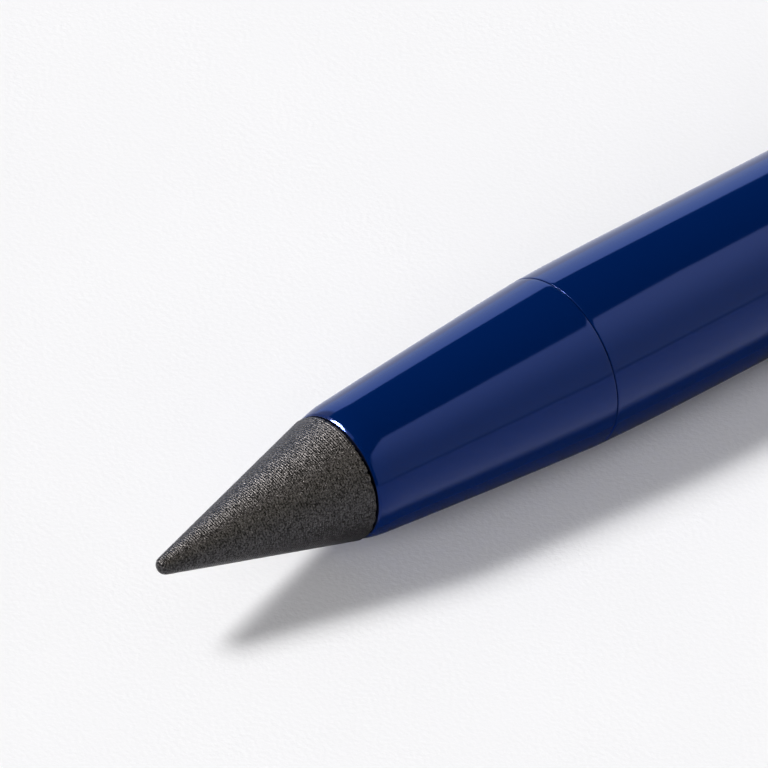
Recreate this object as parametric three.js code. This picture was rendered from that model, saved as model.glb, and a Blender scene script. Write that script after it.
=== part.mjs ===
// Inkless pencil: a bare metal writing tip on a short lacquered nose, screwed to a plain round barrel.
// It lies along X with its point at -X, and the barrel rests on the plane Z = 0. Units are millimetres.
// Every piece is turned. Outlines are lists of [station, radius] pairs, where a station is a distance
// along the pencil, measured rearwards from the plane where the tip's base meets its washer.

import * as THREE from 'three';

// Driving dimensions

// Whole pencil
const OVERALL_LENGTH = 160;
const BARREL_RADIUS = 4;
const FACETS = 32;

// Clearances
const RUNNING_CLEARANCE = 0.05;
const BOND_GAP = 0.03;
const SEAM_GAP = 0.04;

// Writing tip
const TIP_LENGTH = 9.7;
const TIP_BASE_RADIUS = 2.89;
const TIP_POINT_RADIUS = 0.42;
const TIP_EDGE_ROUNDING = 0.1;
const TIP_SOCKET_DEPTH = 4;

// Tip stud
const STUD_THREAD_RADIUS = 1.25;
const STUD_THREAD_PITCH = 0.45;
const STUD_TURNS = 9;
const STUD_SHANK_STEP = 0.2;

// Tip washer
const WASHER_THICKNESS = 0.5;
const WASHER_PROUD = 0.1;
const WASHER_PLAY = 0.35;
const WASHER_INSET = 0.55;

// Nose section
const NOSE_LENGTH = 12.6;
const LIP_STEP = 0.083;
const LIP_DROP = 0.125;
const LIP_LENGTH = 1.2;
const LIP_POWER = 2.5;
const LIP_ROUNDING = 0.25;
const NOSE_BULGE = 0.033;
const NOSE_THIN_WALL = 0.453;

// Nose insert
const INSERT_WALL = 0.8;
const INSERT_END_ROOM = 1.45;
const INSERT_FLANGE_THICKNESS = 0.6;

// Screw joint between nose and barrel
const PILOT_STEP = 0.25;
const PILOT_LENGTH = 2.3;
const RING_SECTION = 0.45;
const THREAD_STEP = 0.25;
const JOINT_THREAD_PITCH = 0.5;
const JOINT_TURNS = 12;
const SPIGOT_WALL = 1.1;
const BUSH_THREAD_RUN_OUT = 0.7;

// Barrel and end plug
const BARREL_WALL = 0.6;
const SEAM_DROP = 0.07;
const SEAM_EDGE = 0.15;
const BLEND_LENGTH = 5;
const PLUG_HEAD_THICKNESS = 1.6;
const PLUG_STEM_LENGTH = 8;
const PLUG_EDGE_ROUNDING = 0.5;

// Machining practice
const CHAMFER = 0.25;
const EDGE_BREAK = 0.06;
const THREAD_DEPTH_PER_PITCH = 0.613;
const RELIEF_PER_PITCH = 1.5;

// Stations that follow from the driving dimensions

const lip = WASHER_PROUD;
const insertFront = WASHER_THICKNESS;
const studEnd = insertFront + STUD_TURNS * STUD_THREAD_PITCH;
const flangeFront = studEnd + INSERT_END_ROOM;
const spigotFront = flangeFront + INSERT_FLANGE_THICKNESS;
const noseRear = NOSE_LENGTH - SEAM_GAP / 2;
const barrelFront = NOSE_LENGTH + SEAM_GAP / 2;
const pilotEnd = barrelFront + PILOT_LENGTH;
const ringStation = (barrelFront + pilotEnd) / 2;
const bushThreadFront = pilotEnd + RUNNING_CLEARANCE + CHAMFER;
const spigotEnd = bushThreadFront + JOINT_TURNS * JOINT_THREAD_PITCH;
const bushRear = spigotEnd + BUSH_THREAD_RUN_OUT;
const rearEnd = OVERALL_LENGTH - TIP_LENGTH;
const plugShoulder = rearEnd - PLUG_HEAD_THICKNESS;

// Radii that follow, from the outside in

const mouthRadius = TIP_BASE_RADIUS + LIP_STEP;
const seamRadius = BARREL_RADIUS - SEAM_DROP;
const barrelBoreRadius = BARREL_RADIUS - BARREL_WALL;
const noseBoreRadius = noseFlank(flangeFront) - NOSE_THIN_WALL;
const pilotRadius = noseBoreRadius - PILOT_STEP;
const jointThreadRadius = pilotRadius - THREAD_STEP;
const spigotBoreRadius = jointThreadRadius - SPIGOT_WALL;
const washerOuterRadius = TIP_BASE_RADIUS - WASHER_INSET;
const washerInnerRadius = STUD_THREAD_RADIUS + WASHER_PLAY;
const insertBoreRadius = STUD_THREAD_RADIUS + RUNNING_CLEARANCE;
const insertRadius = insertBoreRadius + INSERT_WALL;
const studShankRadius = STUD_THREAD_RADIUS - STUD_SHANK_STEP;

// Materials

/** One finish of the pencil, as a standard material. */
function finish(name, color, roughness, metalness) {
  return new THREE.MeshStandardMaterial({ name, color, roughness, metalness });
}

const lacquer = () => finish('blue_lacquer', 0x031f55, 0.06, 0);
const tipAlloy = () => finish('tip_alloy', 0x4a4846, 0.5, 0.8);
const brass = () => finish('brass', 0xb8923f, 0.3, 1);
const rubber = () => finish('black_rubber', 0x161616, 0.7, 0);

// Outline tools

/** Points of an arc in the outline plane, from one angle to another, in degrees from the rearward direction. */
function arc(station, radius, arcRadius, fromAngle, toAngle, steps) {
  return Array.from({ length: steps + 1 }, (_, i) => {
    const angle = THREE.MathUtils.degToRad(fromAngle + ((toAngle - fromAngle) * i) / steps);
    return [station + arcRadius * Math.cos(angle), radius + arcRadius * Math.sin(angle)];
  });
}

/** The nose's flank at a station: a straight taper from mouth to seam, with a slight swell at its middle. */
function noseFlank(station) {
  const t = THREE.MathUtils.inverseLerp(lip, noseRear, station);
  return THREE.MathUtils.lerp(mouthRadius, seamRadius, t) + 4 * NOSE_BULGE * t * (1 - t);
}

/** The nose's outer radius at a station: its flank, which falls away towards the lip in a soft curve. */
function noseOuter(station) {
  const toFlank = Math.max(0, 1 - (station - lip) / LIP_LENGTH);
  return noseFlank(station) - LIP_DROP * toFlank ** LIP_POWER;
}

/** Points of the nose's outer outline between two stations, without the first. */
function noseRun(from, to, steps) {
  return Array.from({ length: steps }, (_, i) => {
    const station = THREE.MathUtils.lerp(from, to, (i + 1) / steps);
    return [station, noseOuter(station)];
  });
}

/** The lip's rounding, from the front face to where it runs tangent into the nose's outer curve. */
function lipRounding(steps) {
  const rise = Math.atan2(noseOuter(lip + LIP_ROUNDING) - noseOuter(lip), LIP_ROUNDING);
  const endRadius = noseOuter(lip + LIP_ROUNDING * (1 - Math.sin(rise)));
  const centreRadius = endRadius - LIP_ROUNDING * Math.cos(rise);
  const endAngle = 90 + THREE.MathUtils.radToDeg(rise);
  return arc(lip + LIP_ROUNDING, centreRadius, LIP_ROUNDING, 180, endAngle, steps);
}

/** A shallow curve that leaves its start at a slope and runs tangent into a cylinder. */
function tangentBlend(start, startRadius, length, endRadius, steps) {
  return Array.from({ length: steps + 1 }, (_, i) => {
    const left = 1 - i / steps;
    return [start + length * (1 - left), endRadius - (endRadius - startRadius) * left * left];
  });
}

/**
 * A turned piece from its outline, which starts and ends on the axis or comes back to its start.
 * Each facet is tangent to the true circle, and one of them faces straight down.
 */
function turned(name, outline, material) {
  const onFlats = 1 / Math.cos(Math.PI / FACETS);
  const points = outline.map(([station, radius]) => new THREE.Vector2(radius * onFlats, station));
  const geometry = new THREE.LatheGeometry(points, FACETS, Math.PI / FACETS);
  geometry.applyMatrix4(new THREE.Matrix4().set(0, 1, 0, 0, 0, 0, 1, 0, 1, 0, 0, 0, 0, 0, 0, 1));
  const mesh = new THREE.Mesh(geometry, material);
  mesh.name = name;
  return mesh;
}

/** Closes an outline on itself. */
function closed(outline) {
  return [...outline, outline[0]];
}

// Pieces of the tip

/** The writing cone: a rounded point, straight flanks tangent to it, an eased base edge and a blind socket. */
function writingTip() {
  const toBase = TIP_LENGTH - TIP_POINT_RADIUS;
  const reach = Math.hypot(toBase, TIP_BASE_RADIUS);
  const flank = Math.atan2(TIP_BASE_RADIUS, toBase) - Math.asin(TIP_POINT_RADIUS / reach);
  const flankDegrees = THREE.MathUtils.radToDeg(flank);
  const edgeRadius = TIP_BASE_RADIUS - TIP_EDGE_ROUNDING * (Math.tan(flank) + 1 / Math.cos(flank));
  const socketRadius = studShankRadius + BOND_GAP;
  return turned('writing_tip', [
    [-TIP_LENGTH, 0],
    ...arc(-toBase, 0, TIP_POINT_RADIUS, 180, 90 + flankDegrees, 5).slice(1),
    ...arc(-TIP_EDGE_ROUNDING, edgeRadius, TIP_EDGE_ROUNDING, 90 + flankDegrees, 0, 4),
    [0, STUD_THREAD_RADIUS + BOND_GAP + CHAMFER],
    [-CHAMFER, socketRadius],
    [-TIP_SOCKET_DEPTH, socketRadius],
    [-TIP_SOCKET_DEPTH - socketRadius / 2, 0],
  ], tipAlloy());
}

/** The brass stud: a plain shank fixed in the tip's socket, a relief groove, and the screwed length. */
function tipStud() {
  const shankFront = -TIP_SOCKET_DEPTH + CHAMFER;
  const reliefEnd = insertFront + STUD_THREAD_PITCH * RELIEF_PER_PITCH;
  const threadDepth = STUD_THREAD_PITCH * THREAD_DEPTH_PER_PITCH;
  return turned('tip_stud', [
    [shankFront, 0],
    [shankFront, studShankRadius - CHAMFER],
    [shankFront + CHAMFER, studShankRadius],
    [-CHAMFER - BOND_GAP, studShankRadius],
    [0, STUD_THREAD_RADIUS],
    [WASHER_THICKNESS / 2, STUD_THREAD_RADIUS - threadDepth],
    [reliefEnd - threadDepth, STUD_THREAD_RADIUS - threadDepth],
    [reliefEnd, STUD_THREAD_RADIUS],
    [studEnd - CHAMFER, STUD_THREAD_RADIUS],
    [studEnd, STUD_THREAD_RADIUS - CHAMFER],
    [studEnd, 0],
  ], brass());
}

/** The thin seat washer between the tip's base and the nose. */
function tipWasher() {
  return turned('tip_washer', closed([
    [0, washerInnerRadius],
    [0, washerOuterRadius],
    [WASHER_THICKNESS, washerOuterRadius],
    [WASHER_THICKNESS, washerInnerRadius],
  ]), rubber());
}

// Pieces of the nose

/** The lacquered nose: rounded lip, swelling taper, eased seam edge, washer seat, insert bore and spigot bore. */
function noseSection() {
  const seatRadius = washerOuterRadius + RUNNING_CLEARANCE;
  const seamFront = noseRear - SEAM_EDGE;
  return turned('nose_section', closed([
    [lip, seatRadius + EDGE_BREAK],
    ...lipRounding(5),
    ...noseRun(lip + LIP_ROUNDING, lip + LIP_LENGTH, 4),
    ...noseRun(lip + LIP_LENGTH, seamFront, 8),
    ...arc(seamFront, noseOuter(seamFront) - SEAM_EDGE, SEAM_EDGE, 90, 0, 3).slice(1),
    [noseRear, noseBoreRadius + CHAMFER],
    [noseRear - CHAMFER, noseBoreRadius],
    [flangeFront, noseBoreRadius],
    [flangeFront, insertRadius + BOND_GAP],
    [insertFront, insertRadius + BOND_GAP],
    [insertFront, seatRadius],
    [lip + EDGE_BREAK, seatRadius],
  ]), lacquer());
}

/** The brass bush that the stud screws into, with a flange trapped between the nose and the spigot. */
function noseInsert() {
  const flangeRadius = noseBoreRadius - BOND_GAP;
  return turned('nose_insert', closed([
    [insertFront, insertBoreRadius + CHAMFER],
    [insertFront, insertRadius],
    [flangeFront, insertRadius],
    [flangeFront, flangeRadius],
    [spigotFront, flangeRadius],
    [spigotFront, insertBoreRadius + CHAMFER],
    [spigotFront - CHAMFER, insertBoreRadius],
    [insertFront + CHAMFER, insertBoreRadius],
  ]), brass());
}

/** The brass spigot: seat in the nose, pilot with the ring's groove, thread relief, and the screwed length. */
function jointSpigot() {
  const seatRadius = noseBoreRadius - BOND_GAP;
  const grooveFloor = pilotRadius - RING_SECTION - RUNNING_CLEARANCE;
  const grooveHalf = RING_SECTION / 2 + RUNNING_CLEARANCE;
  const reliefEnd = pilotEnd + JOINT_THREAD_PITCH * RELIEF_PER_PITCH;
  const threadDepth = JOINT_THREAD_PITCH * THREAD_DEPTH_PER_PITCH;
  return turned('joint_spigot', closed([
    [spigotFront, spigotBoreRadius],
    [spigotFront, seatRadius - CHAMFER],
    [spigotFront + CHAMFER, seatRadius],
    [noseRear - CHAMFER, seatRadius],
    [noseRear, pilotRadius],
    [ringStation - grooveHalf, pilotRadius],
    [ringStation - grooveHalf, grooveFloor],
    [ringStation + grooveHalf, grooveFloor],
    [ringStation + grooveHalf, pilotRadius],
    [pilotEnd - CHAMFER, pilotRadius],
    [pilotEnd, jointThreadRadius - threadDepth],
    [reliefEnd, jointThreadRadius - threadDepth],
    [reliefEnd + threadDepth, jointThreadRadius],
    [spigotEnd - CHAMFER, jointThreadRadius],
    [spigotEnd, jointThreadRadius - CHAMFER],
    [spigotEnd, spigotBoreRadius],
  ]), brass());
}

/** The rubber ring in the spigot's groove, an eight-sided round section. */
function jointRing() {
  const middleRadius = pilotRadius - RING_SECTION / 2;
  const section = arc(ringStation, middleRadius, RING_SECTION / 2, 360, 0, 8);
  return turned('joint_ring', closed(section.slice(0, -1)), rubber());
}

// Pieces of the barrel

/** The brass bush in the barrel's front: a counterbore for the pilot, then the screwed length. */
function barrelBush() {
  const pilotBore = pilotRadius + RUNNING_CLEARANCE;
  const threadBore = jointThreadRadius + RUNNING_CLEARANCE;
  const outerRadius = barrelBoreRadius - BOND_GAP;
  return turned('barrel_bush', closed([
    [barrelFront, pilotBore + CHAMFER / 2],
    [barrelFront, outerRadius],
    [bushRear - CHAMFER, outerRadius],
    [bushRear, outerRadius - CHAMFER],
    [bushRear, threadBore],
    [bushThreadFront, threadBore],
    [bushThreadFront - CHAMFER, pilotBore],
    [barrelFront + CHAMFER / 2, pilotBore],
  ]), brass());
}

/** The lacquered tube: eased seam edge, a blend that takes up the nose's taper, and a straight bore. */
function barrel() {
  return turned('barrel', closed([
    [barrelFront, barrelBoreRadius],
    ...arc(barrelFront + SEAM_EDGE, seamRadius - SEAM_EDGE, SEAM_EDGE, 180, 90, 3),
    ...tangentBlend(barrelFront + SEAM_EDGE, seamRadius, BLEND_LENGTH, BARREL_RADIUS, 6).slice(1),
    [plugShoulder - EDGE_BREAK, BARREL_RADIUS],
    [plugShoulder, BARREL_RADIUS - EDGE_BREAK],
    [plugShoulder, barrelBoreRadius],
  ]), lacquer());
}

/** The lacquered plug: a stem fixed in the bore, and a head that ends flat with a rounded edge. */
function endPlug() {
  const stemRadius = barrelBoreRadius - BOND_GAP;
  const stemFront = plugShoulder - PLUG_STEM_LENGTH;
  return turned('end_plug', [
    [stemFront, 0],
    [stemFront, stemRadius - CHAMFER],
    [stemFront + CHAMFER, stemRadius],
    [plugShoulder - CHAMFER, stemRadius],
    [plugShoulder, stemRadius - CHAMFER],
    [plugShoulder, BARREL_RADIUS - EDGE_BREAK],
    [plugShoulder + EDGE_BREAK, BARREL_RADIUS],
    ...arc(rearEnd - PLUG_EDGE_ROUNDING, BARREL_RADIUS - PLUG_EDGE_ROUNDING, PLUG_EDGE_ROUNDING, 90, 0, 5),
    [rearEnd, 0],
  ], lacquer());
}

// Assembly

const tipGroup = new THREE.Group();
tipGroup.add(writingTip(), tipStud());

const noseGroup = new THREE.Group();
noseGroup.add(noseSection(), noseInsert(), jointSpigot(), tipWasher(), jointRing(), tipGroup);

const pencil = new THREE.Group();
pencil.add(barrel(), barrelBush(), endPlug(), noseGroup);
pencil.position.set(TIP_LENGTH - OVERALL_LENGTH / 2, 0, BARREL_RADIUS);

export default pencil;
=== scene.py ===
"""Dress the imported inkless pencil: smooth turned surfaces, cut threads, finishes, floor, light and camera.

The pencil lies along X with its point at -X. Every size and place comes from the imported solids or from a
named size in millimetres, and every piece rides on the body that carries its solid.
"""

from __future__ import annotations

import logging
import math
from collections.abc import Callable, Sequence
from dataclasses import dataclass, field
from enum import Enum

import bmesh
import bpy
import numpy as np
from mathutils import Matrix, Vector


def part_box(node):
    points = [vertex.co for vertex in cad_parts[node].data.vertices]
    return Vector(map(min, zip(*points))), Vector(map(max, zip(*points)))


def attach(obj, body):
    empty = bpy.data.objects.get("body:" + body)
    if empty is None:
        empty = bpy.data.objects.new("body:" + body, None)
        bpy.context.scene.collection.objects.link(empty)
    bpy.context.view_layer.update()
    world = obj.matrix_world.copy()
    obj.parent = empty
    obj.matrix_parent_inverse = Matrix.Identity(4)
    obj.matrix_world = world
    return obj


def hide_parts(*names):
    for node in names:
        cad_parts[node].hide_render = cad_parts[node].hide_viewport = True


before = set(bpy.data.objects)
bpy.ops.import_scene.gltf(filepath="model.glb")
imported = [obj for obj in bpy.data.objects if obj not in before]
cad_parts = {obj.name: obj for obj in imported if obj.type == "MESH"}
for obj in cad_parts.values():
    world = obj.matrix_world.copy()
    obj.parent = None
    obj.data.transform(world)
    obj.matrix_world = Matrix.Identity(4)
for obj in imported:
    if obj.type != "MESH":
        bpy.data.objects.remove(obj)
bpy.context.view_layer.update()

log = logging.getLogger("pencil")

MM = 0.001

# Outlines are lists of corners: a place along the axis, a radius and, unless it is sharp, a rounding.
Corner = tuple[float, ...]
Pair = tuple[float, float]
Point = tuple[float, float, float]
Colour = tuple[float, ...]
Row = np.ndarray


class Slot(Enum):
    """The record's material slots."""

    LACQUER = "blue_lacquer"
    TIP_ALLOY = "tip_alloy"
    BRASS = "brass"
    RUBBER = "black_rubber"


class Fit(Enum):
    """Which side of a screw joint a thread is cut on."""

    SCREW = "screw"
    NUT = "nut"


@dataclass(frozen=True)
class Span:
    """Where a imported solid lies: its two ends along the axis, and its outer radius."""

    front: float
    rear: float
    radius: float

    @classmethod
    def of(cls, node: str) -> Span:
        """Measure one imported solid, in metres."""
        low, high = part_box(node)
        return cls(low.x, high.x, (high.z - low.z) / 2)


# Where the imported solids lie
TIP = Span.of("writing_tip")
STUD = Span.of("tip_stud")
WASHER = Span.of("tip_washer")
NOSE = Span.of("nose_section")
INSERT = Span.of("nose_insert")
SPIGOT = Span.of("joint_spigot")
RING = Span.of("joint_ring")
TUBE = Span.of("barrel")
BUSH = Span.of("barrel_bush")
PLUG = Span.of("end_plug")

AXIS_HEIGHT = TUBE.radius


def rounded(corners: Sequence[Corner], degrees_per_step: float = 9.0) -> list[Pair]:
    """Turn corners into an outline whose rounded corners are arcs.

    Args:
        corners: The outline's corners. The first and the last stay sharp.
        degrees_per_step: How much an arc turns between two of its points.

    Returns:
        Pairs of a place along the axis and a radius.
    """
    points = [corners[0][:2]]
    for before, corner, after in zip(corners, corners[1:], corners[2:]):
        points.extend(_corner_points(before, corner, after, degrees_per_step))
    points.append(corners[-1][:2])
    return points


def _corner_points(before: Corner, corner: Corner, after: Corner, step: float) -> list[Pair]:
    """Points of one corner: itself where it is sharp, or an arc with a short straight lead on each side.

    Args:
        before: The corner before it.
        corner: The corner.
        after: The corner after it.
        step: How many degrees the arc turns between two points.

    Returns:
        Pairs of a place along the axis and a radius.
    """
    lead = 0.01 * MM
    nearly_straight = math.radians(89)
    rounding = corner[2] if len(corner) > 2 else 0.0
    here = np.array(corner[:2])
    to_before = np.array(before[:2]) - here
    to_after = np.array(after[:2]) - here
    room = min(np.linalg.norm(to_before), np.linalg.norm(to_after)) / 2 - lead
    u = to_before / np.linalg.norm(to_before)
    v = to_after / np.linalg.norm(to_after)
    half = math.acos(max(-1.0, min(1.0, float(u @ v)))) / 2
    if rounding <= 0 or room <= 0 or half > nearly_straight:
        return [corner[:2]]
    reach = min(rounding / math.tan(half), room)
    radius = reach * math.tan(half)
    centre = here + (u + v) / np.linalg.norm(u + v) * radius / math.sin(half)
    first = here + u * reach - centre
    last = here + v * reach - centre
    turn = math.pi - 2 * half
    steps = max(2, math.ceil(math.degrees(turn) / step))
    sweep = [_slerp(first, last, turn, i / steps) + centre for i in range(steps + 1)]
    run = [here + u * (reach + lead), *sweep, here + v * (reach + lead)]
    return [(float(p[0]), float(p[1])) for p in run]


def _slerp(first: np.ndarray, last: np.ndarray, turn: float, share: float) -> np.ndarray:
    """The arm at a share from 0 to 1 of the turn, in radians, between two arms of equal length."""
    return (first * math.sin((1 - share) * turn) + last * math.sin(share * turn)) / math.sin(turn)


@dataclass(frozen=True)
class Thread:
    """A right-handed 60 degree thread. Mating threads share one origin, so their flanks lie in phase."""

    major: float
    pitch: float
    origin: float
    fit: Fit
    play: float = 0.03 * MM
    # Distance from the crest's middle in pitches, and the depth there in pitches
    steps: tuple[float, ...] = (0.0, 1 / 16, 7 / 32, 3 / 8, 1 / 2)
    screw_depths: tuple[float, ...] = (0.0, 0.0, 0.2706, 0.5413, 0.6134)
    nut_depths: tuple[float, ...] = (-0.05, 0.0, 0.2706, 0.5413, 0.5413)

    @property
    def root(self) -> float:
        """The radius at the bottom of a screw's groove."""
        return self.major - self.screw_depths[-1] * self.pitch

    @property
    def minor(self) -> float:
        """The radius of the bore that a nut's thread is cut in."""
        return self.major + self.play - self.nut_depths[-1] * self.pitch

    def radius(self, x: np.ndarray, turns: np.ndarray) -> np.ndarray:
        """The thread's radius.

        Args:
            x: Places along the axis.
            turns: How far round the axis each place is, in turns.

        Returns:
            The radius at each place.
        """
        phase = (x - self.origin) / self.pitch - turns
        off_crest = np.abs(phase - np.round(phase))
        screw = self.fit is Fit.SCREW
        depth = np.interp(off_crest, self.steps, self.screw_depths if screw else self.nut_depths)
        return self.major - depth * self.pitch + (0.0 if screw else self.play)

    def rows(self, start: float, end: float, segments: int, limit: Sequence[Pair]) -> list[Row]:
        """Rows of points that follow the helix and end flat at both ends.

        Args:
            start: Where the threaded length starts.
            end: Where it ends.
            segments: How many points a turn has.
            limit: Places and radii that a screw's thread never stands above, or a nut's below.

        Returns:
            Rows of places and radii, one column for each step round the axis.
        """
        turns = np.linspace(0.0, 1.0, segments + 1)
        phases = sorted({p % 1.0 for s in self.steps for p in (s, -s)})
        first = math.floor((start - self.origin) / self.pitch) - 1
        last = math.ceil((end - self.origin) / self.pitch)
        places, radii = zip(*limit)
        rows = []
        for turn in range(first, last + 1):
            for phase in phases:
                x = np.clip(self.origin + (turn + phase + turns) * self.pitch, start, end)
                bound = np.interp(x, places, radii)
                keep = np.minimum if self.fit is Fit.SCREW else np.maximum
                rows.append(np.column_stack([x, keep(self.radius(x, turns), bound)]))
        return rows


@dataclass
class Lathe:
    """Collects the rows of one turned piece, and makes its closed mesh."""

    name: str
    segments: int = 192
    rows: list[Row] = field(default_factory=list)

    def turn(
        self,
        corners: Sequence[Corner],
        shape: Callable[[float, float], Row] | None = None,
        closed: bool = False,
    ) -> Lathe:
        """Add the rings of an outline.

        Args:
            corners: The outline's corners.
            shape: Gives a ring's row from its place and radius, where the ring isn't plain.
            closed: Whether the outline runs back to its start, so that every corner can be rounded.

        Returns:
            This lathe.
        """
        if closed:
            middle = tuple((a + b) / 2 for a, b in zip(corners[-1][:2], corners[0][:2]))
            corners = [middle, *corners, middle]
        for x, radius in rounded(corners):
            self.rows.append(shape(x, radius) if shape else self.ring(x, radius))
        return self

    def ring(self, x: float, radius: float) -> Row:
        """The row of one plain ring."""
        return np.tile((x, radius), (self.segments + 1, 1))

    def cut(self, thread: Thread, start: float, end: float, limit: Sequence[Pair]) -> Lathe:
        """Add a threaded length.

        Args:
            thread: The thread.
            start: Where it starts.
            end: Where it ends. A thread that is cut backwards along the outline starts behind its end.
            limit: Places and radii that bound the thread, front to rear.

        Returns:
            This lathe.
        """
        rows = thread.rows(min(start, end), max(start, end), self.segments, limit)
        self.rows.extend(rows if start < end else rows[::-1])
        return self

    def screw(self, thread: Thread, start: float, end: float, chamfer: float) -> Lathe:
        """Add a screw's thread, which rises out of a relief groove and ends in a chamfer.

        Args:
            thread: The thread.
            start: Where it leaves the groove.
            end: Where it ends.
            chamfer: The chamfer there.

        Returns:
            This lathe.
        """
        major, root = thread.major, thread.root
        full = start + major - root
        limit = [(start, root), (full, major), (end - chamfer, major), (end, major - chamfer)]
        return self.cut(thread, start, end, limit)

    def tap(self, thread: Thread, front: float, rear: float, mouth: float) -> Lathe:
        """Add a nut's thread from its rear to its front, with a 45 degree lead at both ends.

        Args:
            thread: The thread.
            front: Its front end.
            rear: Its rear end.
            mouth: The radius at both ends.

        Returns:
            This lathe.
        """
        lead = mouth - thread.minor
        limit = [(front, mouth), (front + lead, thread.minor), (rear - lead, thread.minor), (rear, mouth)]
        return self.cut(thread, rear, front, limit)

    def close(self) -> Lathe:
        """Bring the outline back to its start."""
        self.rows.append(self.rows[0])
        return self

    def make(self) -> bpy.types.Object:
        """Join the rows into one closed mesh.

        Returns:
            The new object, smooth but for its sharp edges.
        """
        rows = np.array(self.rows)
        count, columns = rows.shape[:2]
        angles = np.linspace(0.0, 2 * math.pi, columns)
        x, radius = rows[..., 0], rows[..., 1]
        height = AXIS_HEIGHT + radius * np.sin(angles)
        points = np.stack([x, radius * np.cos(angles), height], axis=-1).reshape(-1, 3)
        faces = [
            (i * columns + j, i * columns + j + 1, (i + 1) * columns + j + 1, (i + 1) * columns + j)
            for i in range(count - 1)
            for j in range(columns - 1)
        ]
        mesh = bpy.data.meshes.new(self.name)
        mesh.from_pydata(points.tolist(), [], faces)
        _finish_mesh(mesh)
        return placed(self.name, mesh)


def placed(name: str, data: bpy.types.ID) -> bpy.types.Object:
    """Put a mesh, a lamp or a camera into the scene.

    Args:
        name: The new object's name.
        data: What it shows.

    Returns:
        The object.
    """
    thing = bpy.data.objects.new(name, data)
    bpy.context.scene.collection.objects.link(thing)
    return thing


def _finish_mesh(mesh: bpy.types.Mesh, sharp_degrees: float = 38.0) -> None:
    """Weld a new mesh, face it outwards, smooth it and mark its sharp edges.

    Args:
        mesh: The mesh.
        sharp_degrees: An edge that turns by more than this stays sharp.
    """
    weld = 1e-8
    work = bmesh.new()
    work.from_mesh(mesh)
    bmesh.ops.remove_doubles(work, verts=work.verts, dist=weld)
    bmesh.ops.dissolve_degenerate(work, edges=work.edges, dist=weld)
    bmesh.ops.recalc_face_normals(work, faces=work.faces)
    for face in work.faces:
        face.smooth = True
    for edge in work.edges:
        edge.smooth = len(edge.link_faces) == 2 and edge.calc_face_angle() < math.radians(sharp_degrees)
    work.to_mesh(mesh)
    work.free()


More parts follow.
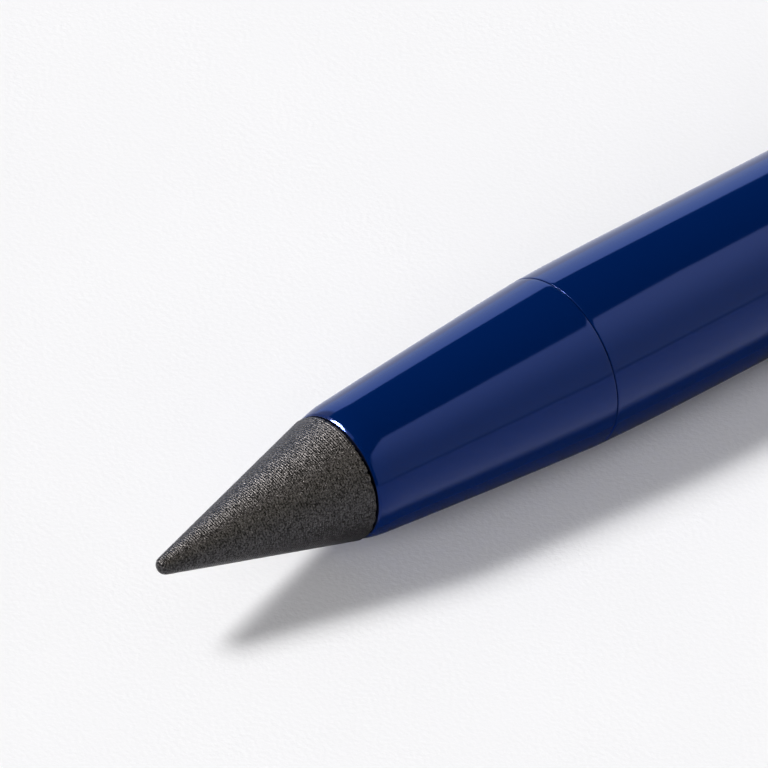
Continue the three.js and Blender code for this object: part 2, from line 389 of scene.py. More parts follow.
class Board:
    """A material's node tree, with short calls for the nodes that the finishes use."""

    def __init__(self, name: str) -> None:
        """Start a material.

        Args:
            name: The material's name.
        """
        self.material = bpy.data.materials.new(name)
        self.material.use_nodes = True
        self.nodes = self.material.node_tree.nodes
        self.links = self.material.node_tree.links
        self.shader = self.nodes["Principled BSDF"]
        self.place = self.add("ShaderNodeTexCoord").outputs["Object"]

    def add(self, kind: str, **settings: object) -> bpy.types.Node:
        """Add a node.

        Args:
            kind: The node's type.
            **settings: Its own settings.

        Returns:
            The node.
        """
        node = self.nodes.new(kind)
        for name, value in settings.items():
            setattr(node, name, value)
        return node

    def feed(self, socket: bpy.types.NodeSocket, value: object) -> None:
        """Link a socket to another, or set its number or colour.

        Args:
            socket: The input.
            value: An output, a number or a colour.
        """
        if isinstance(value, bpy.types.NodeSocket):
            self.links.new(value, socket)
        else:
            socket.default_value = value

    def sum(self, operation: str, *values: object) -> bpy.types.NodeSocket:
        """Work out one step of arithmetic.

        Args:
            operation: The step's name.
            *values: Outputs or numbers.

        Returns:
            The result.
        """
        node = self.add("ShaderNodeMath", operation=operation)
        for socket, value in zip(node.inputs, values):
            self.feed(socket, value)
        return node.outputs[0]

    def stretch(self, across: float) -> bpy.types.NodeSocket:
        """The place on the piece, scaled across the pencil's axis.

        Args:
            across: The scale along Y and Z. Below 1 it draws a pattern out round the axis.

        Returns:
            The scaled place.
        """
        node = self.add("ShaderNodeVectorMath", operation="MULTIPLY")
        self.feed(node.inputs[0], self.place)
        self.feed(node.inputs[1], (1.0, across, across))
        return node.outputs[0]

    def grain(self, size: float, detail: float = 2.0, where: object = None) -> bpy.types.NodeSocket:
        """Soft noise from 0 to 1.

        Args:
            size: How large one patch of it is, in metres.
            detail: How many finer layers it has.
            where: The place that it is read at, if not the place on the piece.

        Returns:
            The noise.
        """
        node = self.add("ShaderNodeTexNoise")
        self.feed(node.inputs["Vector"], where or self.place)
        self.feed(node.inputs["Scale"], 1 / size)
        self.feed(node.inputs["Detail"], detail)
        return node.outputs[0]

    def waves(self, place: object, pitch: float) -> bpy.types.NodeSocket:
        """Even waves from 0 to 1.

        Args:
            place: What they run along.
            pitch: The distance between two of them, in metres.

        Returns:
            The waves.
        """
        swing = self.sum("SINE", self.sum("MULTIPLY", place, 2 * math.pi / pitch))
        return self.sum("MULTIPLY_ADD", swing, 0.5, 0.5)

    def ramp(
        self, value: object, low: float, high: float, start: float = 0.0, end: float = 1.0
    ) -> bpy.types.NodeSocket:
        """Carry a range of values smoothly over to another.

        Args:
            value: The value.
            low: Where the range starts.
            high: Where it ends.
            start: The result up to low.
            end: The result from high on.

        Returns:
            The result.
        """
        node = self.add("ShaderNodeMapRange", interpolation_type="SMOOTHSTEP")
        for name, number in zip(("From Min", "From Max", "To Min", "To Max"), (low, high, start, end)):
            self.feed(node.inputs[name], number)
        self.feed(node.inputs["Value"], value)
        return node.outputs[0]

    def mix(self, share: object, first: object, second: object) -> bpy.types.NodeSocket:
        """Mix two colours.

        Args:
            share: How much of the second is in the mix.
            first: A colour, or an output.
            second: The other.

        Returns:
            The mixed colour.
        """
        node = self.add("ShaderNodeMix", data_type="RGBA")
        self.feed(node.inputs[0], share)
        self.feed(node.inputs[6], first)
        self.feed(node.inputs[7], second)
        return node.outputs[2]

    def axis(self, index: int) -> bpy.types.NodeSocket:
        """The place on the piece along one direction.

        Args:
            index: 0, 1 or 2, for X, Y or Z.

        Returns:
            The place.
        """
        parts = self.add("ShaderNodeSeparateXYZ")
        self.feed(parts.inputs[0], self.place)
        return parts.outputs[index]

    def radius(self) -> bpy.types.NodeSocket:
        """Measure from the pencil's axis.

        Returns:
            The distance from it.
        """
        above = self.sum("SUBTRACT", self.axis(2), AXIS_HEIGHT)
        squares = (self.sum("POWER", part, 2.0) for part in (self.axis(1), above))
        return self.sum("SQRT", self.sum("ADD", *squares))

    def relief(self, height: object, depth: float) -> None:
        """Raise the surface.

        Args:
            height: The relief, as a share of the depth.
            depth: How high a relief of 1 stands, in metres.
        """
        bump = self.add("ShaderNodeBump")
        self.feed(bump.inputs["Strength"], 1.0)
        self.feed(bump.inputs["Distance"], depth)
        self.feed(bump.inputs["Height"], height)
        self.feed(self.shader.inputs["Normal"], bump.outputs[0])

    def set(self, **values: object) -> None:
        """Feed the shader's own sockets.

        Args:
            **values: What each is fed, under its name in lower case and joined by underscores.
        """
        named = {s.name.lower().replace(" ", "_"): s for s in self.shader.inputs}
        for name, value in values.items():
            self.feed(named[name], value)

    def glow(self, colour: object, strength: float = 1.0, cover: object = None) -> bpy.types.Material:
        """Make the material plain light in place of a surface.

        Args:
            colour: The light's colour.
            strength: Its strength.
            cover: How much of what lies behind it is covered, where that isn't all.

        Returns:
            The material.
        """
        light = self.add("ShaderNodeEmission")
        self.feed(light.inputs["Color"], colour)
        self.feed(light.inputs["Strength"], strength)
        surface = light.outputs[0]
        if cover is not None:
            mixed = self.add("ShaderNodeMixShader")
            clear = self.add("ShaderNodeBsdfTransparent").outputs[0]
            for socket, value in zip(mixed.inputs, (cover, clear, surface)):
                self.feed(socket, value)
            surface = mixed.outputs[0]
        self.feed(self.nodes["Material Output"].inputs["Surface"], surface)
        return self.material


def tone(red: float, green: float, blue: float) -> Colour:
    """An opaque colour in linear values."""
    return (red, green, blue, 1.0)


@dataclass(frozen=True)
class Lacquer:
    """Deep blue gloss lacquer over turned aluminium, which is bare inside the bores, with painted shade near
    black on the nose's front face for the dark gap round the tip.
    """

    slot: Slot = Slot.LACQUER
    blue: Colour = tone(0.0004, 0.0165, 0.115)
    metal: Colour = tone(0.62, 0.62, 0.63)
    # Painted shade: near black, standing for the shadowed gap between the tip's base and the nose
    gap_shade: Colour = tone(0.0015, 0.0015, 0.0018)
    sheen_tint: Colour = tone(0.17, 0.28, 1.0)
    ior: float = 1.54
    roughness: float = 0.07
    # How much rougher haze, bare metal, the painted gap shade and dust make it
    haze_rougher: float = 0.03
    metal_rougher: float = 0.25
    gap_shade_rougher: float = 0.5
    dust_rougher: float = 0.2
    paint_edge: float = 0.02 * MM
    # Between these depths behind the nose's front face the painted gap shade fades out
    gap_shade_depth: Pair = (0.006 * MM, 0.012 * MM)
    peel_size: float = 0.9 * MM
    dust_size: float = 0.05 * MM
    dust_height: float = 0.4
    haze_size: float = 6.0 * MM
    # Between which two values of their noise dust and haze come in
    dust_range: Pair = (0.78, 0.84)
    haze_range: Pair = (0.35, 0.75)
    relief_depth: float = 0.0012 * MM

    def material(
        self, name: str, bare_inside: float, front: float = -1.0, widening: float = 0.0
    ) -> bpy.types.Material:
        """Build the finish.

        Args:
            name: The material's name.
            bare_inside: Within this radius the metal is bare.
            front: Where along the axis that radius holds. The face there is painted near black, as shade of
                the gap round the tip.
            widening: How much the radius grows for each length behind that place.

        Returns:
            The material.
        """
        board = Board(name)
        behind = board.sum("SUBTRACT", board.axis(0), front)
        limit = board.sum("MULTIPLY_ADD", behind, widening, bare_inside)
        outside = board.sum("SUBTRACT", board.radius(), limit)
        bare = board.ramp(outside, -self.paint_edge, self.paint_edge, 1.0, 0.0)
        # Painted shade on the nose's front face, for the dark gap round the tip
        gap_shaded = board.ramp(behind, *self.gap_shade_depth, 1.0, 0.0)
        dust = board.ramp(board.grain(self.dust_size), *self.dust_range)
        hazy = self.roughness + self.haze_rougher
        rough = board.ramp(board.grain(self.haze_size, detail=4.0), *self.haze_range, self.roughness, hazy)
        covers = ((bare, self.metal_rougher), (gap_shaded, self.gap_shade_rougher), (dust, self.dust_rougher))
        for cover, rougher in covers:
            rough = board.sum("MULTIPLY_ADD", cover, rougher, rough)
        board.set(
            base_color=board.mix(bare, board.mix(gap_shaded, self.blue, self.gap_shade), self.metal),
            metallic=bare,
            roughness=rough,
            ior=self.ior,
            specular_tint=self.sheen_tint,
        )
        peel = board.grain(self.peel_size, detail=1.0)
        board.relief(board.sum("MULTIPLY_ADD", dust, self.dust_height, peel), self.relief_depth)
        return board.material


@dataclass(frozen=True)
class TipAlloy:
    """Bare dark grey alloy, turned to fine rings, with an open grain of small pores."""

    slot: Slot = Slot.TIP_ALLOY
    dark: Colour = tone(0.015, 0.0146, 0.0156)
    light: Colour = tone(0.1, 0.0967, 0.1022)
    spark: Colour = tone(0.3, 0.29, 0.295)
    pore: Colour = tone(0.005, 0.005, 0.005)
    metallic: float = 0.85
    ring_pitch: float = 0.105 * MM
    # How far the rings wander, as a share of their pitch
    ring_drift: float = 0.3
    drift_size: float = 1.2 * MM
    break_size: float = 0.25 * MM
    grain_size: float = 0.08 * MM
    pore_size: float = 0.1 * MM
    # How many times longer a pore is along the axis than round it
    pore_length: float = 1.2
    pore_cover: float = 0.95
    spark_size: float = 0.065 * MM
    # Between which two values of their noise rings, pores, sparks and the light tone come in
    ring_range: Pair = (0.2, 0.45)
    pore_range: Pair = (0.62, 0.7)
    spark_range: Pair = (0.7, 0.79)
    light_range: Pair = (0.36, 0.64)
    # How smooth and how rough it is, and the values of the grain, less the rings' polish, that give this
    roughness: Pair = (0.35, 0.53)
    rough_range: Pair = (0.22, 0.62)
    ring_polish: float = 0.1
    # How high grain and rings stand and how deep pores lie, as shares of the relief's depth
    grain_height: float = 0.5
    ring_height: float = 0.8
    pore_sink: float = 0.7
    relief_depth: float = 0.035 * MM

    def material(self) -> bpy.types.Material:
        """Build the finish.

        Returns:
            The material.
        """
        board = Board("tip_alloy")
        drift = board.grain(self.drift_size)
        place = board.sum("MULTIPLY_ADD", drift, self.ring_drift * self.ring_pitch, board.axis(0))
        kept = board.ramp(board.grain(self.break_size, detail=3.0), *self.ring_range)
        broken = board.sum("MULTIPLY", board.waves(place, self.ring_pitch), kept)
        grain = board.grain(self.grain_size, detail=3.0)
        pitting = board.grain(self.pore_size, detail=1.0, where=board.stretch(self.pore_length))
        pores = board.ramp(pitting, *self.pore_range)
        sparks = board.ramp(board.grain(self.spark_size, detail=1.0), *self.spark_range)
        height = board.sum("MULTIPLY", grain, self.grain_height)
        for part, share in ((broken, self.ring_height), (pores, -self.pore_sink)):
            height = board.sum("MULTIPLY_ADD", part, share, height)
        board.relief(height, self.relief_depth)
        lit = board.ramp(grain, *self.light_range)
        colour = board.mix(sparks, board.mix(lit, self.dark, self.light), self.spark)
        worked = board.sum("MULTIPLY_ADD", broken, -self.ring_polish, grain)
        board.set(
            base_color=board.mix(board.sum("MULTIPLY", pores, self.pore_cover), colour, self.pore),
            metallic=self.metallic,
            roughness=board.ramp(worked, *self.rough_range, *self.roughness),
        )
        return board.material


@dataclass(frozen=True)
class TurnedBrass:
    """Bright brass with the fine rings of the lathe and a faint tarnish."""

    slot: Slot = Slot.BRASS
    bright: Colour = tone(0.66, 0.45, 0.16)
    tarnished: Colour = tone(0.42, 0.25, 0.08)
    ring_pitch: float = 0.04 * MM
    # The scale across the axis that draws noise out into rings, and how high the flat faces' rings stand
    ring_draw: float = 0.02
    face_height: float = 0.4
    # How smooth and how rough it is, and between which two values of the rings' noise
    roughness: Pair = (0.2, 0.34)
    rough_range: Pair = (0.3, 0.7)
    tarnish_size: float = 1.5 * MM
    tarnish_range: Pair = (0.45, 0.8)
    tarnish_cover: float = 0.6
    relief_depth: float = 0.003 * MM

    def material(self) -> bpy.types.Material:
        """Build the finish.

        Returns:
            The material.
        """
        board = Board("turned_brass")
        lines = board.grain(self.ring_pitch, where=board.stretch(self.ring_draw))
        faced = board.waves(board.radius(), self.ring_pitch)
        dulled = board.grain(self.tarnish_size, detail=4.0)
        tarnish = board.ramp(dulled, *self.tarnish_range, end=self.tarnish_cover)
        board.set(
            base_color=board.mix(tarnish, self.bright, self.tarnished),
            metallic=1.0,
            roughness=board.ramp(lines, *self.rough_range, *self.roughness),
        )
        board.relief(board.sum("MULTIPLY_ADD", faced, self.face_height, lines), self.relief_depth)
        return board.material


@dataclass(frozen=True)
class MouldedRubber:
    """Matt black rubber with a fine moulded skin and a little bloom."""

    slot: Slot = Slot.RUBBER
    black: Colour = tone(0.011, 0.011, 0.011)
    bloom: Colour = tone(0.03, 0.03, 0.031)
    bloom_size: float = 0.6 * MM
    bloom_range: Pair = (0.5, 0.85)
    skin_size: float = 0.04 * MM
    # How smooth and how rough it is, and between which two values of the skin's noise
    roughness: Pair = (0.62, 0.82)
    rough_range: Pair = (0.3, 0.7)
    relief_depth: float = 0.006 * MM

    def material(self) -> bpy.types.Material:
        """Build the finish.

        Returns:
            The material.
        """
        board = Board("moulded_rubber")
        skin = board.grain(self.skin_size, detail=3.0)
        bloomed = board.ramp(board.grain(self.bloom_size, detail=3.0), *self.bloom_range)
        board.set(
            base_color=board.mix(bloomed, self.black, self.bloom),
            roughness=board.ramp(skin, *self.rough_range, *self.roughness),
        )
        board.relief(skin, self.relief_depth)
        return board.material


@dataclass
class Turned:
    """Sizes that the turned sub-assemblies share, and the hand-over of a finished piece."""

    body: str = ""
    bond: float = 0.03 * MM
    chamfer: float = 0.25 * MM
    break_edge: float = 0.03 * MM
    # How far an outline's places keep off a rounded edge, in roundings
    edge_room: float = 2.2

    def hand_over(
        self, piece: bpy.types.Object, node: str, slot: Slot, material: bpy.types.Material
    ) -> None:
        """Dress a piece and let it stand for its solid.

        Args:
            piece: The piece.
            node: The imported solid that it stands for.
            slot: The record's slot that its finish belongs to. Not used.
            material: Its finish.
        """
        piece.data.materials.append(material)
        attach(piece, self.body)
        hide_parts(node)
        log.info("%s: %d faces, for %s on %s", piece.name, len(piece.data.polygons), node, self.body)


@dataclass
class Tip(Turned):
    """The writing cone and the brass stud that it screws in with."""

    body: str = "tip"
    point_radius: float = 0.42 * MM
    point_steps: int = 14
    flank_shares: tuple[float, ...] = (0.004, 0.5, 0.93, 0.97)
    edge_rounding: float = 0.1 * MM
    socket_depth: float = 4.0 * MM
    shank_step: float = 0.2 * MM
    thread_pitch: float = 0.45 * MM
    relief_pitches: float = 1.5
    chips: int = 64
    # The least and the most of a chip's half width, in radians, and of its depth
    chip_width: Pair = (0.025, 0.06)
    chip_depth: Pair = (0.01 * MM, 0.13 * MM)
    # How far chips reach ahead of the base, and inward from its edge
    chip_reach: Pair = (0.2 * MM, 0.12 * MM)
    worn: float = 0.015 * MM
    seed: int = 7

    def build(self, alloy: TipAlloy, brass: TurnedBrass) -> None:
        """Make and dress both pieces.

        Args:
            alloy: The cone's finish.
            brass: The stud's finish.
        """
        self.hand_over(self.cone(), "writing_tip", alloy.slot, alloy.material())
        self.hand_over(self.stud(), "tip_stud", brass.slot, brass.material())

    def flank(self) -> Pair:
        """Work out the cone's half angle and the radius of its base, were its edge sharp.

        Returns:
            The angle in radians, and the radius.
        """
        to_base = TIP.rear - TIP.front - self.point_radius
        reach = math.hypot(to_base, TIP.radius)
        angle = math.atan2(TIP.radius, to_base) - math.asin(self.point_radius / reach)
        lost = self.edge_rounding * (math.tan(angle) + 1 / math.cos(angle) - 1)
        return angle, TIP.radius + lost

    def chipped(self, lathe: Lathe) -> Callable[[float, float], Row]:
        """Small chips round the cone's base edge.

        Args:
            lathe: The lathe that the cone is turned on.

        Returns:
            A function that gives the row of a ring from its place and radius.
        """
        draw = np.random.default_rng(self.seed)
        angles = np.linspace(0.0, 2 * math.pi, lathe.segments + 1)
        loss = np.full_like(angles, self.worn)
        for _ in range(self.chips):
            centre, width = draw.uniform(0, 2 * math.pi), draw.uniform(*self.chip_width)
            depth = self.chip_depth[0] + (self.chip_depth[1] - self.chip_depth[0]) * draw.random() ** 2
            away = np.abs((angles - centre + math.pi) % (2 * math.pi) - math.pi)
            loss = np.maximum(loss, depth * np.clip(1 - (away / width) ** 2, 0, 1))
        loss[-1] = loss[0]

        def ring(x: float, radius: float) -> Row:
            """Turn a ring, chipped where it lies near the base edge.

            Args:
                x: Its place along the axis.
                radius: Its radius before it was chipped.

            Returns:
                Its row.
            """
            ahead, inward = self.chip_reach
            near = np.clip(1 - (TIP.rear - x) / ahead, 0, 1) * (radius > TIP.radius - inward)
            row = lathe.ring(x, radius)
            row[:, 1] -= loss * near
            return row

        return ring

    def cone(self) -> bpy.types.Object:
        """The cone: a ball point, straight flanks, an eased and chipped base edge, and the stud's socket.

        Returns:
            The piece.
        """
        angle, base_radius = self.flank()
        socket = STUD.radius - self.shank_step + self.bond
        mouth = STUD.radius + self.bond + self.chamfer
        lathe = Lathe("writing_cone", segments=360)
        for i in range(self.point_steps + 1):
            a = math.pi - (math.pi / 2 - angle) * i / self.point_steps
            point = (TIP.front + self.point_radius * (1 + math.cos(a)), self.point_radius * math.sin(a))
            lathe.rows.append(lathe.ring(*point))
        flank = [
            (point[0] + (TIP.rear - point[0]) * share, point[1] + (base_radius - point[1]) * share)
            for share in self.flank_shares
        ]
        lathe.turn(
            [
                *flank,
                (TIP.rear, base_radius, self.edge_rounding),
                (TIP.rear, mouth),
                (TIP.rear - self.chamfer, socket),
                (TIP.rear - self.socket_depth, socket),
                (TIP.rear - self.socket_depth - socket / 2, 0.0),
            ],
            self.chipped(lathe),
        )
        return lathe.make()

    def stud(self) -> bpy.types.Object:
        """The stud: a plain shank, a seat, a relief groove and its thread.

        Returns:
            The piece.
        """
        shank = STUD.radius - self.shank_step
        thread = tip_thread(Fit.SCREW)
        relief_end = WASHER.rear + self.relief_pitches * thread.pitch
        lathe = Lathe("threaded_stud", segments=96)
        lathe.turn(
            [
                (STUD.front, 0.0),
                (STUD.front, shank - self.chamfer),
                (STUD.front + self.chamfer, shank),
                (TIP.rear - self.chamfer - self.bond, shank),
                (TIP.rear, STUD.radius, self.break_edge),
                ((TIP.rear + WASHER.rear) / 2, thread.root, self.break_edge),
                (relief_end, thread.root),
            ]
        )
        lathe.screw(thread, relief_end, STUD.rear, self.chamfer)
        return lathe.turn([(STUD.rear, thread.root), (STUD.rear, 0.0)]).make()


def tip_thread(fit: Fit) -> Thread:
    """The thread between the tip's stud and the nose's insert."""
    return Thread(STUD.radius, Tip.thread_pitch, STUD.rear, fit)


def nose_thread(fit: Fit) -> Thread:
    """The thread between the nose's spigot and the barrel's bush."""
    return Thread(Nose.pilot_radius() - Nose.thread_step, Nose.thread_pitch, SPIGOT.rear, fit)


@dataclass
class Seals(Turned):
    """The thin washer behind the tip, and the rubber ring in the nose's joint."""

    washer_play: float = 0.35 * MM
    washer_edge: float = 0.05 * MM
    ring_facets: int = 28

    def build(self, rubber: MouldedRubber) -> None:
        """Make and dress both seals.

        Args:
            rubber: Their finish.
        """
        self.body = "tip_washer"
        self.hand_over(self.washer(), "tip_washer", rubber.slot, rubber.material())
        self.body = "joint_ring"
        self.hand_over(self.ring(), "joint_ring", rubber.slot, rubber.material())

    def washer(self) -> bpy.types.Object:
        """The washer: flat, with eased edges.

        Returns:
            The piece.
        """
        inner = STUD.radius + self.washer_play
        corners = [
            (WASHER.front, WASHER.radius, self.washer_edge),
            (WASHER.rear, WASHER.radius, self.washer_edge),
            (WASHER.rear, inner, self.washer_edge),
            (WASHER.front, inner, self.washer_edge),
        ]
        return Lathe("seat_washer", segments=128).turn(corners, closed=True).make()

    def ring(self) -> bpy.types.Object:
        """The ring, round in section.

        Returns:
            The piece.
        """
        half = (RING.rear - RING.front) / 2
        middle = Nose.pilot_radius() - half
        lathe = Lathe("sealing_ring", segments=128)
        for i in range(self.ring_facets):
            a = 2 * math.pi * i / self.ring_facets
            x, radius = RING.front + half * (1 - math.cos(a)), middle + half * math.sin(a)
            lathe.rows.append(lathe.ring(x, radius))
        return lathe.close().make()


@dataclass
class Nose(Turned):
    """The lacquered nose with its brass insert and spigot."""

    body: str = "nose"
    lip_step: float = 0.083 * MM
    lip_drop: float = 0.125 * MM
    lip_length: float = 1.2 * MM
    lip_power: float = 2.5
    lip_facet: float = 0.105 * MM
    lip_facet_slope: float = 0.62
    lip_facet_bow: float = 0.0012 * MM
    lip_rounding: float = 0.12 * MM
    seam_rounding: float = 0.04 * MM
    seam_fall: float = 0.012 * MM
    seam_fall_length: float = 0.26 * MM
    # How many places the outline has in its roll, its taper and its fall to the seam
    outline_steps: tuple[int, int, int] = (14, 32, 6)
    bulge: float = 0.033 * MM
    widening: float = 0.1
    washer_clearance: float = 0.05 * MM
    insert_clearance: float = 0.05 * MM
    insert_wall: float = 0.8 * MM
    flange_thickness: float = 0.6 * MM
    thread_step: float = 0.25 * MM
    thread_pitch: float = 0.5 * MM
    spigot_wall: float = 1.1 * MM
    pilot_step: float = 0.25 * MM
    pilot_length: float = 2.3 * MM
    groove_play: float = 0.05 * MM

    @classmethod
    def bore_radius(cls) -> float:
        """The bore in the nose's rear, which the spigot's seat is bonded in."""
        return SPIGOT.radius + cls.bond

    @classmethod
    def pilot_radius(cls) -> float:
        """The spigot's plain pilot, which centres the nose in the barrel's bush."""
        return cls.bore_radius() - cls.pilot_step

    def build(self, lacquer: Lacquer, brass: TurnedBrass) -> None:
        """Make and dress the three pieces.

        Args:
            lacquer: The nose's own finish.
            brass: The finish of the insert and the spigot.
        """
        seat = WASHER.radius + self.washer_clearance + 2 * self.break_edge
        finish = lacquer.material("lacquer_nose", seat, NOSE.front, self.widening)
        self.hand_over(self.section(), "nose_section", lacquer.slot, finish)
        self.hand_over(self.insert(), "nose_insert", brass.slot, brass.material())
        self.hand_over(self.spigot(), "joint_spigot", brass.slot, brass.material())

    def outer(self, behind: float) -> Corner:
        """The nose's outline: a taper with a slight swell, which falls towards the lip in a soft curve.

        Args:
            behind: How far behind the lip.

        Returns:
            The outline's corner there.
        """
        share = behind / (NOSE.rear - NOSE.front)
        mouth = Tip().flank()[1] + self.lip_step
        seam = TUBE.radius - Barrel.seam_drop
        flank = mouth + (seam - mouth) * share + 4 * self.bulge * share * (1 - share)
        to_flank = max(0.0, 1 - behind / self.lip_length)
        to_seam = max(0.0, 1 - (NOSE.rear - NOSE.front - behind) / self.seam_fall_length)
        drop = self.lip_drop * to_flank**self.lip_power + self.seam_fall * to_seam**2
        return NOSE.front + behind, flank - drop

    def facet(self, mouth: float) -> list[Corner]:
        """The slightly bowed facet that the lip's front edge is broken with.

        Args:
            mouth: The lip's radius at its front face.

        Returns:
            The outline's corners between the facet's two ends.
        """
        corners = []
        for share in (0.25, 0.5, 0.75):
            bow = 4 * self.lip_facet_bow * share * (1 - share)
            radius = mouth + self.lip_facet_slope * self.lip_facet * share + bow
            corners.append((NOSE.front + self.lip_facet * share, radius))
        return corners

    def section(self) -> bpy.types.Object:
        """The nose: its rounded lip, its outline to the seam, and the bores behind them.

        Returns:
            The piece.
        """
        seat = WASHER.radius + self.washer_clearance
        stem = self.insert_stem() + self.bond
        flange_front = INSERT.rear - self.flange_thickness
        bore = self.bore_radius()
        mouth = self.outer(self.lip_facet)[1] - self.lip_facet_slope * self.lip_facet
        length = NOSE.rear - NOSE.front
        fall_start = length - self.seam_fall_length
        edge_start = length - self.edge_room * self.seam_rounding
        roll_steps, taper_steps, fall_steps = self.outline_steps
        roll = np.linspace(2 * self.lip_facet, self.lip_length, roll_steps, endpoint=False)
        taper = np.linspace(self.lip_length, fall_start, taper_steps)
        fall = np.linspace(fall_start, edge_start, fall_steps)[1:]
        corners = [
            (NOSE.front, mouth, self.break_edge),
            *self.facet(mouth),
            (*self.outer(self.lip_facet), self.lip_rounding),
            *(self.outer(float(behind)) for behind in (*roll, *taper, *fall)),
            (*self.outer(length), self.seam_rounding),
            (NOSE.rear, bore + self.chamfer),
            (NOSE.rear - self.chamfer, bore),
            (flange_front, bore),
            (flange_front, stem),
            (INSERT.front, stem),
            (INSERT.front, seat),
            (NOSE.front, seat, 2 * self.break_edge),
        ]
        return Lathe("nose_cone", segments=256).turn(corners, closed=True).make()

    def insert_stem(self) -> float:
        """The insert's outer radius ahead of its flange."""
        return STUD.radius + self.insert_clearance + self.insert_wall

    def insert(self) -> bpy.types.Object:
        """The insert: a stem with the tip's thread cut through it, and a flange at its rear.

        Returns:
            The piece.
        """
        thread = tip_thread(Fit.NUT)
        mouth = thread.major + thread.play + self.break_edge
        flange_front = INSERT.rear - self.flange_thickness
        lathe = Lathe("threaded_insert", segments=96)
        lathe.turn(
            [
                (INSERT.front, mouth),
                (INSERT.front, self.insert_stem(), self.break_edge),
                (flange_front, self.insert_stem()),
                (flange_front, INSERT.radius, self.break_edge),
                (INSERT.rear, INSERT.radius, self.break_edge),
                (INSERT.rear, mouth),
            ]
        )
        return lathe.tap(thread, INSERT.front, INSERT.rear, mouth).make()

    def spigot(self) -> bpy.types.Object:
        """The spigot: a bonded seat, the pilot with the ring's groove, a relief groove and the thread.

        Returns:
            The piece.
        """
        thread = nose_thread(Fit.SCREW)
        pilot = self.pilot_radius()
        pilot_end = TUBE.front + self.pilot_length
        relief_end = pilot_end + Tip.relief_pitches * thread.pitch
        bore = thread.major - self.spigot_wall
        groove_front, groove_rear = RING.front - self.groove_play, RING.rear + self.groove_play
        floor = pilot - (RING.rear - RING.front) - self.groove_play
        lathe = Lathe("threaded_spigot", segments=128)
        lathe.turn(
            [
                (SPIGOT.front, bore),
                (SPIGOT.front, SPIGOT.radius - self.chamfer),
                (SPIGOT.front + self.chamfer, SPIGOT.radius),
                (NOSE.rear - self.chamfer, SPIGOT.radius),
                (NOSE.rear, pilot, self.break_edge),
                (groove_front, pilot, self.break_edge),
                (groove_front, floor, self.break_edge),
                (groove_rear, floor, self.break_edge),
                (groove_rear, pilot, self.break_edge),
                (pilot_end - self.chamfer, pilot, self.break_edge),
                (pilot_end, thread.root, self.break_edge),
                (relief_end, thread.root),
            ]
        )
        lathe.screw(thread, relief_end, SPIGOT.rear, self.chamfer)
        lathe.turn([(SPIGOT.rear, thread.root), (SPIGOT.rear, bore, self.break_edge), (SPIGOT.front, bore)])
        return lathe.make()


